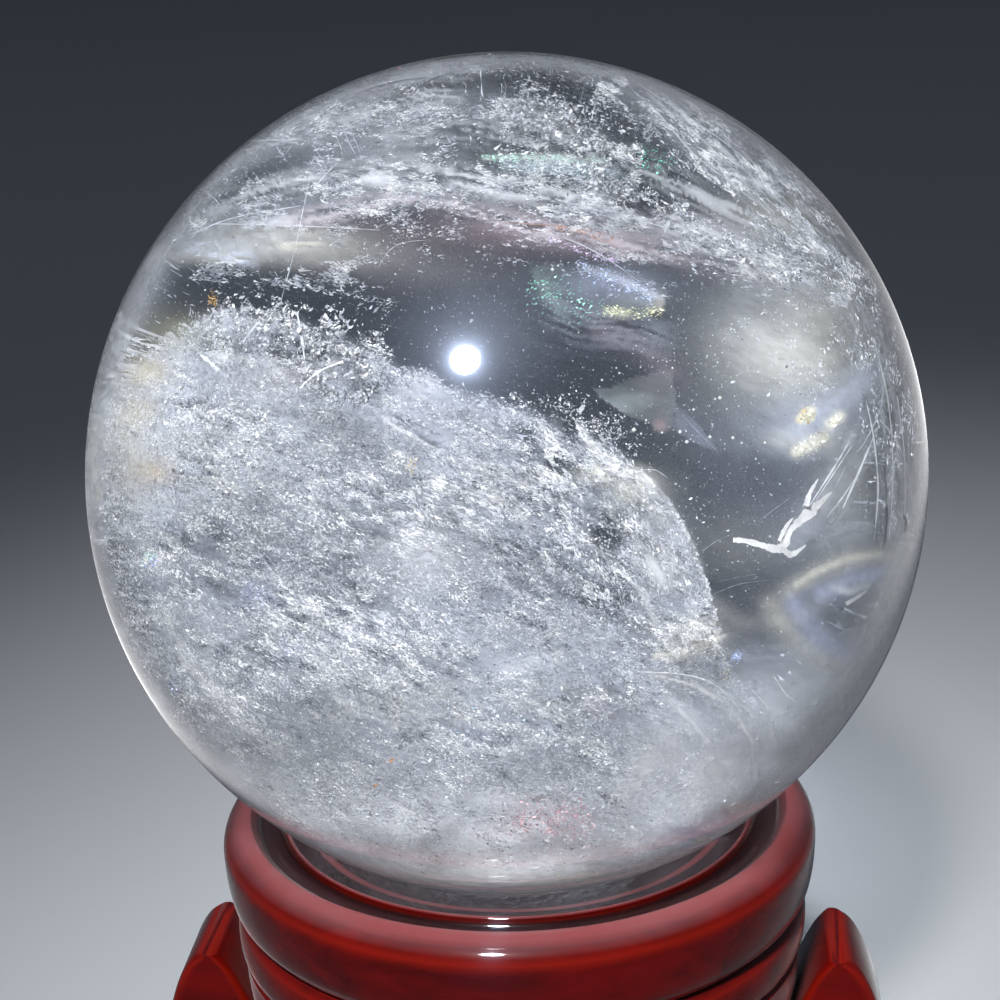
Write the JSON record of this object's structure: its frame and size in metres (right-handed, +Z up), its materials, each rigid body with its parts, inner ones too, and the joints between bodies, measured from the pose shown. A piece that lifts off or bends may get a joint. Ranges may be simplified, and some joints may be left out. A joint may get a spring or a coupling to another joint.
{
  "type": "quartz sphere on a wooden stand",
  "caption": "Polished clear quartz sphere with cloudy inclusions, resting in a turned red lacquered wooden stand on four bracket legs.",
  "frame": {"origin": "on the table under the sphere's centre, at the middle of the four feet", "axes": "+Z up through the sphere's centre, +X towards the right leg, -Y towards the front leg"},
  "size_m": [0.105, 0.105, 0.151],
  "materials": {
    "clear_quartz": "polished",
    "lacquered_wood": "gloss"
  },
  "bodies": {
    "root": {"quartz_sphere": "clear_quartz", "stand_drum": "lacquered_wood", "leg_right": "lacquered_wood", "leg_back": "lacquered_wood", "leg_left": "lacquered_wood", "leg_front": "lacquered_wood"}
  },
  "joints": []
}
